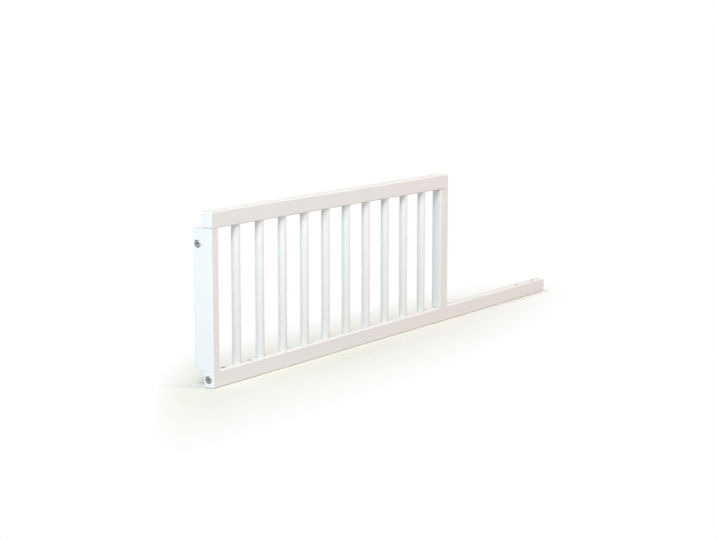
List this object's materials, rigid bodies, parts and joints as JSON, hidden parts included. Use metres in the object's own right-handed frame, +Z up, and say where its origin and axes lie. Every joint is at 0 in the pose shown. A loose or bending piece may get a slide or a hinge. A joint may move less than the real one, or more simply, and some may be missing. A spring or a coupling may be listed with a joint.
{
  "type": "bed guard rail",
  "caption": "Half-length guard rail for a cot bed: round upright bars between two painted wooden rails and two posts, with threaded inserts in its ends.",
  "frame": {"origin": "centre of the bounding box's underside: halfway along the long bottom rail, halfway from the rails' front face to the left post's back face, on the floor", "axes": "+X along the rails from the guard's end to the open end, +Y from the rails' front face to the back, where the left post sticks out, +Z up"},
  "size_m": [1.4, 0.046, 0.35],
  "materials": {
    "painted_beech": "satin white paint",
    "bare_beech": "unfinished",
    "zinc_plated_steel": "bright zinc plating"
  },
  "bodies": {
    "root": {"bottom_rail": "painted_beech", "top_rail": "painted_beech", "left_post": "painted_beech", "right_post": "painted_beech", "bar_01": "painted_beech", "bar_02": "painted_beech", "bar_03": "painted_beech", "bar_04": "painted_beech", "bar_05": "painted_beech", "bar_06": "painted_beech", "bar_07": "painted_beech", "bar_08": "painted_beech", "bar_09": "painted_beech", "bar_10": "painted_beech", "left_post_dowel_bottom": "bare_beech", "left_post_dowel_top": "bare_beech", "right_post_dowel_bottom_inner": "bare_beech", "right_post_dowel_bottom_outer": "bare_beech", "right_post_dowel_top_inner": "bare_beech", "right_post_dowel_top_outer": "bare_beech", "insert_left_post": "zinc_plated_steel", "insert_rail_left": "zinc_plated_steel", "insert_rail_right": "zinc_plated_steel"}
  },
  "joints": []
}
